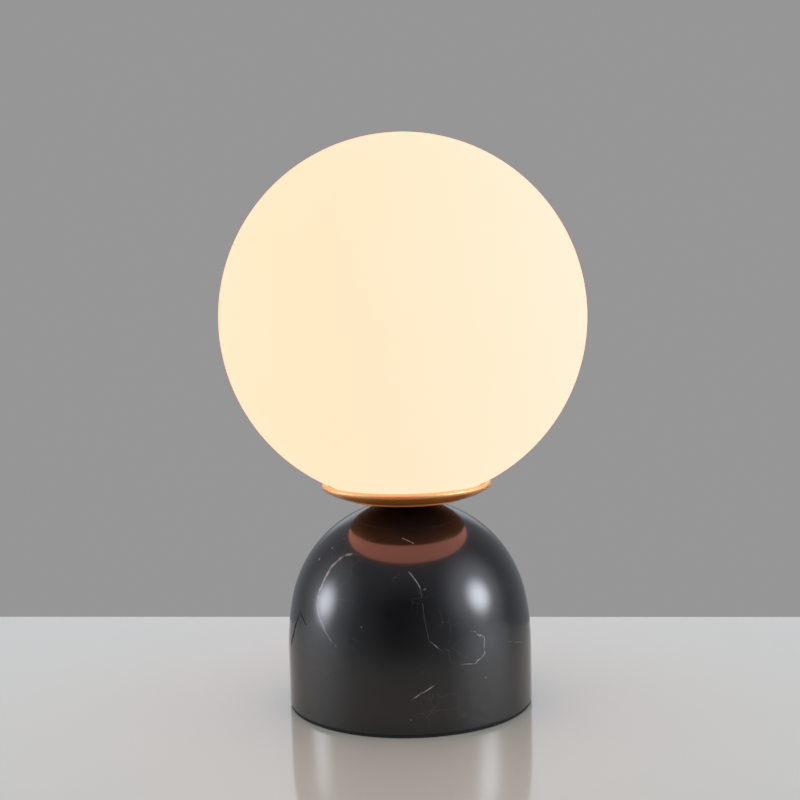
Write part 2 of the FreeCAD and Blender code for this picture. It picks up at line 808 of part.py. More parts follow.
def thread_shell():
    """Metal shell that takes the bulb's cap, with a tab over its terminal's screw.

    Plain walls stand for its rolled thread.
    """
    bottom_z = insulator_top_z
    top_z = bottom_z + thread_shell_height
    floor_z = bottom_z + thread_shell_wall
    flange_radius = thread_shell_inner_radius - thread_shell_flange
    shell = turned([
        (flange_radius, bottom_z),
        (thread_shell_outer_radius, bottom_z),
        (thread_shell_outer_radius, top_z),
        (thread_shell_inner_radius, top_z),
        (thread_shell_inner_radius, floor_z),
        (flange_radius, floor_z)])
    tab = box(
        (holder_terminal_x - screw_diameter / 2, -contact_width / 2, bottom_z),
        (thread_shell_inner_radius, contact_width / 2, floor_z))
    return shell.fuse(tab).removeSplitter()


# ---------------------------------------------------------------- bulb

def bulb_tip():
    """Domed contact at the bottom of the bulb."""
    edge = (bulb_tip_diameter / 2, tip_z + bulb_tip_height)
    return turned([(0, edge[1]), edge, dome_over(edge, -bulb_tip_height)])


def bulb_cap_insulator():
    """Black glass cone between the tip and the cap, with a spigot inside the cap."""
    bottom_z = tip_z + bulb_tip_height
    outer = bulb_cap_radius - bulb_insulator_inset
    straight_edge = 0.8
    spigot_top_z = cap_bottom_z + bulb_insulator_spigot
    return turned([
        (0, bottom_z),
        (bulb_tip_diameter / 2, bottom_z),
        (outer, cap_bottom_z - straight_edge),
        (outer, cap_bottom_z),
        (bulb_sleeve_radius, cap_bottom_z),
        (bulb_sleeve_radius, spigot_top_z),
        (0, spigot_top_z)])


def bulb_cap():
    """Thin metal cap. Plain walls stand for its rolled thread."""
    inner = bulb_cap_radius - bulb_cap_wall
    return ring(inner, bulb_cap_radius, cap_bottom_z, cap_top_z)


def bulb_housing():
    """Moulded body that swells from the cap to the diffuser."""
    sleeve_inner = bulb_sleeve_radius - bulb_housing_wall
    sleeve_bottom_z = cap_top_z - bulb_sleeve_length
    collar = bulb_cap_radius + bulb_collar_step
    low_z = cap_top_z + slide_fit
    waist_z = low_z + bulb_collar_height
    bulge = ((collar + housing_rim_radius) / 2 + bulb_housing_fullness, (waist_z + housing_top_z) / 2)
    inner_bulge = (bulge[0] - bulb_housing_wall, bulge[1])
    return turned([
        (sleeve_inner, sleeve_bottom_z),
        (bulb_sleeve_radius, sleeve_bottom_z),
        (bulb_sleeve_radius, low_z),
        (collar, low_z),
        (collar, waist_z),
        (bulge, (housing_rim_radius, housing_top_z)),
        (housing_rim_inner, housing_top_z),
        (housing_rim_inner, board_z),
        (housing_rim_inner - board_ledge, board_z),
        (inner_bulge, (sleeve_inner, waist_z))])


def bulb_diffuser():
    """Frosted dome, a little over half a ball, with a skirt inside the housing's rim."""
    inner_radius = diffuser_radius - bulb_wall
    centre = (0, diffuser_centre_z)
    skirt_outer = housing_rim_inner - slide_fit
    skirt_inner = skirt_outer - bulb_wall
    skirt_bottom_z = board_z + led_board_thickness
    outer_low = (housing_rim_radius, housing_top_z)
    inner_low_z = diffuser_centre_z - math.sqrt(inner_radius**2 - skirt_inner**2)
    inner_low = (skirt_inner, inner_low_z)
    outer_top = (0, diffuser_centre_z + diffuser_radius)
    inner_top = (0, diffuser_centre_z + inner_radius)
    return turned([
        (skirt_inner, skirt_bottom_z),
        (skirt_outer, skirt_bottom_z),
        (skirt_outer, housing_top_z),
        outer_low,
        arc_between(centre, outer_low, outer_top),
        inner_top,
        arc_between(centre, inner_top, inner_low)])


def led_board():
    """Round metal-backed board on the ledge inside the housing."""
    return disc(housing_rim_inner - slide_fit, board_z, board_z + led_board_thickness)


def led_chips():
    low_z = board_z + led_board_thickness
    chip = box(
        (led_radius, -led_width / 2, low_z),
        (led_radius + led_length, led_width / 2, low_z + led_thickness))
    return Part.makeCompound(around(chip, led_count))


def driver_board():
    """Upright circuit board in the bulb's neck, up to the underside of the LED board."""
    half_width = driver_board_width / 2
    half_thickness = driver_board_thickness / 2
    return box(
        (-half_width, -half_thickness, cap_bottom_z + driver_board_lift),
        (half_width, half_thickness, board_z))


def driver_parts():
    """The driver's capacitor and its coil, each on one face of the board."""
    face_y = driver_board_thickness / 2
    low_z = cap_top_z + driver_parts_lift
    capacitor_radius = capacitor_diameter / 2
    capacitor = disc(
        capacitor_radius, low_z, low_z + capacitor_length, 0, -face_y - capacitor_radius)
    coil = box(
        (-coil_width / 2, face_y, low_z),
        (coil_width / 2, face_y + coil_depth, low_z + coil_height))
    return Part.makeCompound([capacitor, coil])


# ---------------------------------------------------------------- inner wiring

def block_screw_places():
    return [(left + right) / 2 for left, right in zip(pole_places, pole_places[1:])]


def along_y(radius, start_y, end_y, x, z):
    return Part.makeCylinder(radius, end_y - start_y, Vector(x, start_y, z), Vector(0, 1, 0))


def terminal_block():
    """Nylon strip with a passage for each pole, open at both ends and over its screws."""
    body = box(
        (-block_half_width, block_front_y, cover_top_z),
        (block_half_width, block_back_y, block_top_z))
    for x in pole_places:
        body = body.cut(along_y(barrel_diameter / 2 + slide_fit, block_front_y, block_back_y, x, pole_z))
        for y in pole_screw_ys():
            body = body.cut(disc(pole_screw_radius + slide_fit, pole_z, block_top_z, x, y))
    for x in block_screw_places():
        body = body.cut(disc(
            block_screw_radius + slide_fit, cover_top_z, block_top_z, x, block_middle_y))
    return body


def pole_screw_ys():
    quarter = block_depth / 4
    return (block_front_y + quarter, block_back_y - quarter)


def terminal_barrels():
    """Brass tubes in the strip, tapped for two screws each."""
    barrels = []
    for x in pole_places:
        barrel = along_y(
            barrel_diameter / 2, block_front_y + barrel_inset, block_back_y - barrel_inset, x, pole_z)
        barrel = barrel.cut(along_y(wire_diameter / 2 + slide_fit, block_front_y, block_back_y, x, pole_z))
        for y in pole_screw_ys():
            barrel = barrel.cut(disc(pole_screw_radius + slide_fit, pole_z, pole_z + barrel_diameter, x, y))
        barrels.append(barrel)
    return Part.makeCompound(barrels)


def terminal_screws():
    screws = []
    bottom_z = pole_z + wire_diameter / 2 + slide_fit
    top_z = block_top_z - pole_screw_sunk
    for x in pole_places:
        for y in pole_screw_ys():
            screw = disc(pole_screw_radius, bottom_z, top_z, x, y)
            slot = box(
                (x - pole_screw_diameter, y - pole_slot_width / 2, top_z - pole_slot_depth),
                (x + pole_screw_diameter, y + pole_slot_width / 2, top_z))
            screws.append(screw.cut(slot))
    return Part.makeCompound(screws)


def block_screws():
    """Small screws that hold the strip on the cover plate."""
    screws = []
    for x in block_screw_places():
        screws.append(disc(block_screw_radius, marble_bottom_z, block_top_z, x, block_middle_y))
    return Part.makeCompound(screws)


def supply_wire(side):
    """A wire from the strip up the tube to its contact. side is -1 for one pole and 1 for the other."""
    pole_x = side * pole_pitch
    tube_x = side * wire_spacing / 2
    terminal_x = side * holder_terminal_x
    out_of_block_y = block_back_y * 0.75
    turn_in_y = block_back_y / 2
    turn_z = (cover_top_z + tube_bottom_z) / 2
    above_tube_z = tube_top_z + wire_diameter
    below_terminal_z = holder_terminal_z - wire_diameter
    in_terminal_z = holder_terminal_z + holder_terminal_hole_depth - loose_fit
    return wire_along([
        Vector(pole_x, block_back_y - wire_in_barrel, pole_z),
        Vector(pole_x, out_of_block_y, pole_z),
        Vector((pole_x + tube_x) / 2, turn_in_y, turn_z),
        Vector(tube_x, 0, turn_z),
        Vector(tube_x, 0, above_tube_z),
        Vector(terminal_x, 0, below_terminal_z),
        Vector(terminal_x, 0, in_terminal_z)])


def live_wire():
    return supply_wire(-1)


def neutral_wire():
    return supply_wire(1)


def earth_tag():
    """Ring terminal over the lock washer, with a crimp barrel that hangs at its front."""
    eye = ring(over_tube_radius, lock_washer_diameter / 2, earth_tag_z, clamp_washer_z)
    tongue = box(
        (-earth_barrel_radius, earth_barrel_y - earth_barrel_radius, earth_tag_z),
        (earth_barrel_radius, -over_tube_radius - earth_tongue_start, clamp_washer_z))
    barrel = disc(earth_barrel_radius, earth_tag_z - earth_barrel_length, earth_tag_z, 0, earth_barrel_y)
    bore = disc(wire_diameter / 2 + slide_fit, earth_tag_z - earth_barrel_length, earth_tag_z,
                0, earth_barrel_y)
    return eye.fuse([tongue, barrel]).cut(bore).removeSplitter()


def earth_wire():
    """From the strip's middle pole up into the tag's barrel."""
    return wire_along([
        Vector(0, block_back_y - wire_in_barrel, pole_z),
        Vector(0, earth_barrel_y, pole_z),
        Vector(0, earth_barrel_y, earth_tag_z)])


# ---------------------------------------------------------------- export

pieces = {
    "base_pad": base_pad,
    "cover_plate": cover_plate,
    "cover_screws": cover_screws,
    "screw_anchors": screw_anchors,
    "marble_base": marble_base,
    "cord_inlet": cord_inlet,
    "threaded_tube": threaded_tube,
    "soft_washer": soft_washer,
    "clamp_washer": clamp_washer,
    "lock_washer": lock_washer,
    "base_nut": base_nut,
    "upper_nut": upper_nut,
    "spacer_washer": spacer_washer,
    "shade_dish": shade_dish,
    "seat_ring": seat_ring,
    "glass_globe": glass_globe,
    "clip_plate": clip_plate,
    "leaf_springs": leaf_springs,
    "leaf_rivets": leaf_rivets,
    "holder_cap": holder_cap,
    "holder_shell": holder_shell,
    "holder_insulator": holder_insulator,
    "holder_terminals": holder_terminals,
    "holder_contact_screws": holder_contact_screws,
    "centre_contact": centre_contact,
    "thread_shell": thread_shell,
    "bulb_tip": bulb_tip,
    "bulb_cap_insulator": bulb_cap_insulator,
    "bulb_cap": bulb_cap,
    "bulb_housing": bulb_housing,
    "bulb_diffuser": bulb_diffuser,
    "led_board": led_board,
    "led_chips": led_chips,
    "driver_board": driver_board,
    "driver_parts": driver_parts,
    "terminal_block": terminal_block,
    "terminal_barrels": terminal_barrels,
    "terminal_screws": terminal_screws,
    "block_screws": block_screws,
    "live_wire": live_wire,
    "neutral_wire": neutral_wire,
    "earth_tag": earth_tag,
    "earth_wire": earth_wire,
}

os.makedirs("parts", exist_ok=True)
for name, make in pieces.items():
    shape = make()
    if not shape.isValid():
        raise ValueError(name + " is not a valid solid")
    shape.exportStep("parts/" + name + ".step")
print(len(pieces), "nodes; globe centre at", round(globe_centre_z, 2), "mm, top at",
      round(globe_centre_z + globe_radius, 2), "mm")
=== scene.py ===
import math

import bmesh
import bpy
from mathutils import Matrix, Vector


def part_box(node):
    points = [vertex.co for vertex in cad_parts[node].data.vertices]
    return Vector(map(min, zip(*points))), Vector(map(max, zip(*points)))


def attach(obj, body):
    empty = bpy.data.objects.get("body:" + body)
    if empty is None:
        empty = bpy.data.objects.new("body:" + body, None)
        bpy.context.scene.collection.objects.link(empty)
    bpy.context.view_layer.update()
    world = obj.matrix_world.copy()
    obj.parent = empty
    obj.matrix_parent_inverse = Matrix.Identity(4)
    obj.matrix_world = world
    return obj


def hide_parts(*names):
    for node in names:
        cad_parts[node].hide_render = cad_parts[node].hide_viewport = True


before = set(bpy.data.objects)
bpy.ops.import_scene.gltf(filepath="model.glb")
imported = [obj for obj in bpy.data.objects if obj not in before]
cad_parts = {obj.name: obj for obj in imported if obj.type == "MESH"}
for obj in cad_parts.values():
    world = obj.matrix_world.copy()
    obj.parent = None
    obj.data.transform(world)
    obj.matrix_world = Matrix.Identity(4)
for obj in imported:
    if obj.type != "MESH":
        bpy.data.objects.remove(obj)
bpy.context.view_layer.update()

# A table lamp: an opal glass globe in a shallow bronze dish on a domed black marble base.
# Sizes are millimetres and become metres where a vertex is made. The frame is the CAD model's:
# +Z is up, the origin is on the table under the middle of the base, and -Y is the front.

MM = 0.001
MERGE = 1e-7                    # metres: vertices nearer than this are one
AT_HEIGHT = 1e-5                # metres: a vertex this near a height lies at it

# ---------------------------------------------------------------- sizes read from the frame


def low(node):
    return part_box(node)[0].z / MM


def high(node):
    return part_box(node)[1].z / MM


def reach(node):
    """A round node's radius."""
    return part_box(node)[1].x / MM


# ---------------------------------------------------------------- mesh helpers

class Outline:
    """A chain of edges in the XZ plane, drawn point by point in millimetres, then turned about Z."""

    def __init__(self, radius, z, rounding=0.0):
        self.mesh = bmesh.new()
        self.roundings = []
        self.first = self.last = self.mesh.verts.new((radius * MM, 0, z * MM))
        self.note(rounding)

    def note(self, rounding):
        if rounding:
            self.roundings.append((self.last, rounding))

    def to(self, radius, z, rounding=0.0):
        """A straight line to a corner. A rounding is how much of each side the round takes."""
        corner = self.mesh.verts.new((radius * MM, 0, z * MM))
        self.mesh.edges.new((self.last, corner))
        self.last = corner
        self.note(rounding)
        return self

    def arc(self, centre, degrees, segments):
        """An arc about a centre. Positive degrees turn from +X towards +Z."""
        swept = bmesh.ops.spin(
            self.mesh, geom=[self.last], cent=(centre[0] * MM, 0, centre[1] * MM),
            axis=(0, -1, 0), angle=math.radians(degrees), steps=segments)
        self.last = next(item for item in swept["geom_last"] if isinstance(item, bmesh.types.BMVert))
        return self

    def to_axis(self):
        """Puts the last point exactly on the axis."""
        self.last.co.x = 0
        return self

    def close(self):
        self.mesh.edges.new((self.last, self.first))
        return self

    def turned(self, around=128, rise=0.0, turns=1):
        """The surface that the outline sweeps. With a rise per turn it is a screw."""
        for corner, rounding in self.roundings:
            bmesh.ops.bevel(
                self.mesh, geom=[corner], offset=rounding * MM, segments=5, profile=0.5,
                affect="VERTICES", material=-1)
        geometry = self.mesh.verts[:] + self.mesh.edges[:]
        bmesh.ops.spin(
            self.mesh, geom=geometry, cent=(0, 0, 0), axis=(0, 0, 1), angle=math.tau * turns,
            steps=around * turns, dvec=(0, 0, rise * MM / around), use_merge=rise == 0.0)
        bmesh.ops.remove_doubles(self.mesh, verts=self.mesh.verts, dist=MERGE)
        bmesh.ops.recalc_face_normals(self.mesh, faces=self.mesh.faces)
        return self.mesh


def bored(mesh, cutter):
    """The mesh with a hole in the shape of the cutter."""
    objects = []
    for shape in (mesh, cutter):
        data = bpy.data.meshes.new("blank")
        shape.to_mesh(data)
        shape.free()
        objects.append(bpy.data.objects.new("blank", data))
        bpy.context.scene.collection.objects.link(objects[-1])
    cut = objects[0].modifiers.new("cut", "BOOLEAN")
    cut.operation = "DIFFERENCE"
    cut.solver = "EXACT"
    cut.object = objects[1]
    graph = bpy.context.evaluated_depsgraph_get()
    left = bmesh.new()
    left.from_object(objects[0], graph)
    for item in objects:
        bpy.data.objects.remove(item)
    return left


def piece(name, mesh, body, material, slot, *nodes, sharp_degrees=35.0):
    """A finished piece that rides on a body and stands for CAD nodes."""
    data = bpy.data.meshes.new(name)
    mesh.to_mesh(data)
    mesh.free()
    data.shade_smooth()
    data.set_sharp_from_angle(angle=math.radians(sharp_degrees))
    data.materials.append(material)
    made = bpy.data.objects.new(name, data)
    bpy.context.scene.collection.objects.link(made)
    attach(made, body)
    if nodes:
        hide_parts(*nodes)
    return made


# ---------------------------------------------------------------- material helpers

def linear(colour):
    """A six-digit sRGB hex colour as linear RGBA."""
    channels = []
    for place in (0, 2, 4):
        value = int(colour[place:place + 2], 16) / 255
        channels.append(value / 12.92 if value <= 0.04045 else ((value + 0.055) / 1.055) ** 2.4)
    return (*channels, 1.0)


def per(size):
    """The scale of a pattern whose lumps or cells are a size in millimetres."""
    return 1 / (size * MM)


def add(tree, kind, inputs, output=0, **settings):
    """Adds a node and gives one of its outputs.

    Inputs are in order, or named or numbered. Each is a constant or the output that feeds it.
    """
    node = tree.nodes.new("ShaderNode" + kind)
    for name, value in settings.items():
        setattr(node, name, value)
    for name, value in inputs.items() if isinstance(inputs, dict) else enumerate(inputs):
        if isinstance(value, bpy.types.NodeSocket):
            tree.links.new(value, node.inputs[name])
        else:
            node.inputs[name].default_value = value
    return node.outputs[output]


def finish(name, **constants):
    """A new material: itself, its node tree, its shader with sockets set, and the piece's own place."""
    made = bpy.data.materials.new(name)
    made.use_nodes = True
    tree = made.node_tree
    shader = tree.nodes["Principled BSDF"]
    for socket, value in constants.items():
        shader.inputs[socket.replace("_", " ")].default_value = value
    return made, tree, shader, add(tree, "TexCoord", (), "Object")


def drive(tree, shader, **outputs):
    """Links outputs to the shader's sockets."""
    for socket, output in outputs.items():
        tree.links.new(output, shader.inputs[socket.replace("_", " ")])


# ---------------------------------------------------------------- camera

camera_distance = 0.750
camera_height = 0.2387
camera_pitch_degrees = 5.38
camera_roll_degrees = -1.3      # the lamp leans a little to the left in the picture
camera_shift_right = 0.0025     # the lamp stands right of the picture's middle
focal_length_px = 1370.0
picture_px = 800

camera = bpy.data.objects.new("camera", bpy.data.cameras.new("camera"))
camera.data.lens = focal_length_px / picture_px * camera.data.sensor_width
bpy.context.scene.collection.objects.link(camera)
pitch = Matrix.Rotation(math.radians(90 - camera_pitch_degrees), 4, "X")
roll = Matrix.Rotation(math.radians(camera_roll_degrees), 4, "Z")
camera.matrix_world = Matrix.Translation(
    (-camera_shift_right, -camera_distance, camera_height)) @ pitch @ roll
bpy.context.scene.camera = camera
bpy.context.scene.view_settings.view_transform = "Standard"


# ---------------------------------------------------------------- stage and light

backdrop_colour = linear("969696")
table_edge = 0.181              # the table ends this far behind the lamp, in metres
table_turn_degrees = -5.2       # so that its edge lies level in the leaning picture
table_half_width = 1.6
table_half_depth = 1.0
wall_level = 0.52               # of the bright wall behind, which the table mirrors
room_level = 0.26               # of the rest of what polished surfaces mirror
dark_side = (-6, 14)            # azimuth from the front and elevation of the darkest place
dark_reach = 54                 # degrees
dark_share = 0.93
# Each soft box: azimuth from the front, elevation, level of its middle, level of its wide glow.
soft_boxes = ((-90, 13, 6.8, 0.9), (74, 20, 9.0, 1.7))
box_distance = 1.6              # metres from the lamp's foot
box_radius = 0.55
box_colour = linear("eff5ff")
glow_reach = 46                 # degrees


def table_top():
    """A pale lacquered board that ends behind the lamp: glossy, with a faint broad ripple."""
    mesh = bmesh.new()
    bmesh.ops.create_grid(mesh, x_segments=1, y_segments=1, size=1.0)
    bmesh.ops.scale(mesh, vec=(table_half_width, table_half_depth, 1.0), verts=mesh.verts)
    bmesh.ops.translate(mesh, vec=(0, table_edge - table_half_depth, 0), verts=mesh.verts)
    turn = Matrix.Rotation(math.radians(table_turn_degrees), 3, "Z")
    bmesh.ops.rotate(mesh, cent=(0, table_edge, 0), matrix=turn, verts=mesh.verts)
    data = bpy.data.meshes.new("table")
    mesh.to_mesh(data)
    mesh.free()
    lacquer, tree, shader, where = finish(
        "pale_lacquer_sprayed", Base_Color=linear("bfc4bd"), Coat_Weight=1.0, Coat_Roughness=0.05)
    ripple = add(tree, "TexNoise", {"Vector": where, "Scale": per(60), "Detail": 1.0})
    drive(tree, shader, Roughness=add(tree, "MapRange", (ripple, 0.3, 0.7, 0.12, 0.16)))
    data.materials.append(lacquer)
    table = bpy.data.objects.new("table", data)
    bpy.context.scene.collection.objects.link(table)
    return table


def soft_box(number, azimuth, elevation, level, table):
    """The bright middle of a soft box, a round sheet that only the lamp's polished surfaces show.

    It fades out towards its edge and lets the room through. The table is kept from mirroring it.
    """
    mesh = bmesh.new()
    bmesh.ops.create_circle(mesh, cap_ends=True, segments=48, radius=box_radius)
    data = bpy.data.meshes.new(f"soft_box_{number}")
    mesh.to_mesh(data)
    mesh.free()
    cloth = bpy.data.materials.new("diffusion_cloth_lit")
    cloth.use_nodes = True
    tree = cloth.node_tree
    where = add(tree, "TexCoord", (), "Object")
    away = add(tree, "VectorMath", (where,), "Value", operation="LENGTH")
    strength = add(
        tree, "MapRange", (away, box_radius, 0.0, 0.0, level), interpolation_type="SMOOTHERSTEP")
    output = next(item for item in tree.nodes if item.type == "OUTPUT_MATERIAL")
    glow = add(tree, "Emission", (box_colour, strength))
    clear = add(tree, "BsdfTransparent", ())
    tree.links.new(add(tree, "AddShader", (glow, clear)), output.inputs["Surface"])
    data.materials.append(cloth)
    box = bpy.data.objects.new(f"soft_box_{number}", data)
    bpy.context.scene.collection.objects.link(box)
    turn = Matrix.Rotation(math.radians(azimuth), 4, "Z")
    tilt = Matrix.Rotation(math.radians(90 - elevation), 4, "X")
    box.matrix_world = turn @ tilt @ Matrix.Translation((0, 0, box_distance))
    box.visible_camera = box.visible_diffuse = box.visible_shadow = False
    box.visible_transmission = box.visible_volume_scatter = False
    kept_dark = bpy.data.collections.new(f"not_lit_by_soft_box_{number}")
    kept_dark.objects.link(table)
    kept_dark.collection_objects[0].light_linking.link_state = "EXCLUDE"
    box.light_linking.receiver_collection = kept_dark


def studio():
    """A plain grey room with soft light from all round.

    The room's light falls evenly, a little more from above. What polished surfaces mirror is bright
    low down behind the lamp, dark in front, and holds the wide glow round each soft box.
    """
    world = bpy.data.worlds.new("studio")
    world.use_nodes = True
    tree = world.node_tree
    bpy.context.scene.world = world
    direction = add(tree, "TexCoord", (), "Generated")
    sideways = add(tree, "SeparateXYZ", (direction,), "X")
    sideways = add(tree, "Math", (sideways,), operation="ABSOLUTE")
    backward = add(tree, "SeparateXYZ", (direction,), "Y")
    upward = add(tree, "SeparateXYZ", (direction,), "Z")

    def angle_from(azimuth, elevation):
        """The angle in degrees between what is looked at and a direction."""
        turn = math.radians(azimuth)
        tilt = math.radians(elevation)
        towards = (math.sin(turn) * math.cos(tilt), -math.cos(turn) * math.cos(tilt), math.sin(tilt))
        facing = add(tree, "VectorMath", (direction, towards), "Value", operation="DOT_PRODUCT")
        angle = add(tree, "Math", (facing,), operation="ARCCOSINE")
        return add(tree, "Math", (angle,), operation="DEGREES")

    # The bright wall fades out towards its foot, its top and both its sides.
    wall = wall_level
    for part in (
            add(tree, "MapRange", (backward, 0.55, 0.8, 0.0, 1.0)),
            add(tree, "MapRange", (upward, 0.05, 0.15, 0.0, 1.0)),
            add(tree, "MapRange", (upward, 0.37, 0.45, 1.0, 0.0)),
            add(tree, "MapRange", (sideways, 0.28, 0.42, 1.0, 0.0))):
        wall = add(tree, "Math", (wall, part), operation="MULTIPLY")
    mirrored = add(
        tree, "MapRange",
        (angle_from(*dark_side), dark_reach, 0.0, room_level, room_level * (1 - dark_share)),
        interpolation_type="SMOOTHERSTEP")
    mirrored = add(tree, "Math", (mirrored, wall), operation="ADD")
    for azimuth, elevation, _, glow_level in soft_boxes:
        glow = add(
            tree, "MapRange", (angle_from(azimuth, elevation), glow_reach, 0.0, 0.0, glow_level),
            interpolation_type="SMOOTHERSTEP")
        mirrored = add(tree, "Math", (mirrored, glow), operation="ADD")
    from_above = add(tree, "MapRange", (upward, -0.2, 0.9, 0.62, 1.05))
    seen = add(tree, "Background", (backdrop_colour, 1.0))
    gloss = add(tree, "Background", (box_colour, mirrored))
    light = add(tree, "Background", (linear("ffffff"), from_above))
    glossy_ray = add(tree, "LightPath", (), "Is Glossy Ray")
    camera_ray = add(tree, "LightPath", (), "Is Camera Ray")
    result = add(tree, "MixShader", (glossy_ray, light, gloss))
    result = add(tree, "MixShader", (camera_ray, result, seen))
    output = next(item for item in tree.nodes if item.type == "OUTPUT_WORLD")
    tree.links.new(result, output.inputs["Surface"])


table = table_top()
studio()
for number, (azimuth, elevation, level, _) in enumerate(soft_boxes):
    soft_box(number, azimuth, elevation, level, table)

# ---------------------------------------------------------------- materials


def black_marble():
    """Nero marble, ground, polished and waxed: near black, mirror smooth, with thin calcite veins."""
    made, tree, shader, where = finish(
        "nero_marble_polished", IOR=1.55, Coat_Roughness=0.04, Coat_IOR=1.5)

    def strayed(size, distance, detail):
        """The place moved about by noise, up to half a distance in millimetres each way."""
        wander = add(
            tree, "TexNoise", {"Vector": where, "Scale": per(size), "Detail": detail}, "Color")
        offset = add(tree, "VectorMath", (wander, (0.5, 0.5, 0.5)), operation="SUBTRACT")
        return add(tree, "VectorMath", (offset, (distance * MM,) * 3, where), operation="MULTIPLY_ADD")

    gentle = strayed(20.0, 3.0, 3.0)
    lively = strayed(6.0, 7.0, 4.0)

    def drawn(distance, level, width, strength, held):
        """White where a distance is within half a width of a level, and only where it is held."""
        away = add(tree, "Math", (distance, level), operation="SUBTRACT")
        away = add(tree, "Math", (away,), operation="ABSOLUTE")
        line = add(tree, "MapRange", (away, 0.2 * width * MM, 0.6 * width * MM, strength, 0.0))
        return add(tree, "Math", (line, held), operation="MULTIPLY")

    def sheet(start, end, inside, width, strength):
        """A vein where a thin sheet of calcite through three points meets the surface."""
        start, end, inside = (Vector(point) * MM for point in (start, end, inside))
        normal = (end - start).cross(inside - start).normalized()
        half = (end - start).length / 2
        across = add(tree, "VectorMath", (gentle, normal), "Value", operation="DOT_PRODUCT")
        along = add(tree, "VectorMath", (where, (start + end) / 2), "Value", operation="DISTANCE")
        held = add(tree, "MapRange", (along, half * 0.8, half * 1.05, 1.0, 0.0))
        return drawn(across, start.dot(normal), width, strength, held)

    def loop(centre, radius, open_side, width, strength):
        """A vein that curls round a place on the surface and is open on one side."""
        middle = Vector(centre) * MM
        edge = middle.dot(Vector(open_side))
        away = add(tree, "VectorMath", (lively, middle), "Value", operation="DISTANCE")
        aside = add(tree, "VectorMath", (where, open_side), "Value", operation="DOT_PRODUCT")
        held = add(tree, "MapRange", (aside, edge, edge + 0.4 * radius * MM, 1.0, 0.0))
        return drawn(away, radius * MM, width, strength, held)

    # Calcite fills the veins unevenly, so that each one fades and comes back along its way.
    white = loop(*marble_loop)
    for vein in marble_veins:
        white = add(tree, "Math", (white, sheet(*vein)), operation="MAXIMUM")
    broken = add(tree, "TexNoise", {"Vector": where, "Scale": per(3.5), "Detail": 3.0})
    broken = add(tree, "MapRange", (broken, 0.38, 0.62, 0.08, 1.0))
    white = add(tree, "Math", (white, broken), operation="MULTIPLY")

    # Hair cracks that cross each other, only here and there.
    web = add(tree, "TexVoronoi", {"Vector": lively, "Scale": per(12)}, feature="DISTANCE_TO_EDGE")
    web = add(tree, "MapRange", (web, 0.0, 0.016, 0.05, 0.0))
    patches = add(tree, "TexNoise", {"Vector": where, "Scale": per(24), "Detail": 1.0})
    patches = add(tree, "MapRange", (patches, 0.5, 0.64, 0.0, 1.0))
    web = add(tree, "Math", (web, patches), operation="MULTIPLY")

    # A few calcite specks, about half a millimetre across.
    near = add(tree, "TexVoronoi", {"Vector": lively, "Scale": per(8)}, "Distance")
    number = add(tree, "TexVoronoi", {"Vector": lively, "Scale": per(8)}, "Color")
    number = add(tree, "SeparateXYZ", (number,), "X")
    near = add(tree, "MapRange", (near, 0.03, 0.06, 0.5, 0.0))
    chosen = add(tree, "MapRange", (number, 0.78, 0.8, 0.0, 1.0))
    specks = add(tree, "Math", (near, chosen), operation="MULTIPLY")
    for pattern in (web, specks):
        white = add(tree, "Math", (white, pattern), operation="MAXIMUM")

    clouds = add(tree, "TexNoise", {"Vector": where, "Scale": per(35), "Detail": 5.0})
    shade = add(tree, "MapRange", (clouds, 0.35, 0.7, 0.0, 1.0))
    body = add(tree, "Mix", {0: shade, 6: linear("0c0c0e"), 7: linear("18171b")}, 2, data_type="RGBA")
    colour = add(tree, "Mix", {0: white, 6: body, 7: linear("d9d8d6")}, 2, data_type="RGBA")
    roughness = add(tree, "MapRange", (clouds, 0.3, 0.7, 0.16, 0.21))
    wax = 0.5
    for crack in marble_cracks:
        dull = sheet(*crack)
        roughness = add(tree, "Math", (roughness, dull), operation="MAXIMUM")
        left = add(tree, "MapRange", (dull, 0.0, 0.5, 1.0, 0.0))
        wax = add(tree, "Math", (wax, left), operation="MULTIPLY")
    drive(tree, shader, Base_Color=colour, Roughness=roughness, Coat_Weight=wax)
    return made


# Each vein: its ends, a place inside the stone, its width and its whiteness.
marble_veins = (
    ((-28, -40, 91), (-49, -40, 67), (-39, -55, 45), 0.6, 0.5),
    ((-49, -40, 67), (-39, -55, 45), (-28, -40, 91), 0.5, 0.26),
    ((0, -54, 85), (6, -59, 76), (4, -20, 60), 0.5, 0.5),
    ((5, -58, 78), (10, -65, 48), (0, 0, 60), 0.45, 0.13),
    ((-3, -40, 99), (3, -43, 96), (0, 0, 60), 0.6, 0.6),
    ((0, -68, 21), (12, -66, 28), (0, 0, 60), 0.55, 0.5),
    ((10, -65, 50), (17, -65, 44), (0, 0, 20), 0.5, 0.5),
    ((50, -46, 44), (61, -29, 38), (10, 0, 60), 0.4, 0.25),
    ((44, 30, 88), (60, 27, 30), (30, -10, 50), 0.55, 0.5),
    ((-20, 52, 84), (-44, 50, 26), (-10, 10, 40), 0.6, 0.5),
    ((-62, 12, 60), (-58, 34, 24), (0, 0, 70), 0.45, 0.4),
    ((8, 66, 40), (26, 61, 50), (0, 0, 90), 0.5, 0.45),
)
# Two open cracks at the left that the polish never reached, so that they look dull and black.
marble_cracks = (
    ((-59, -28, 57), (-65, -19, 37), (0, 0, 60), 2.4, 0.95),
    ((-60, -28, 58), (-55, -37, 52), (0, 0, 40), 1.4, 0.95),
)
marble_loop = ((31, -60, 45), 9.0, (-0.9, 0, 0.3), 0.6, 0.55)


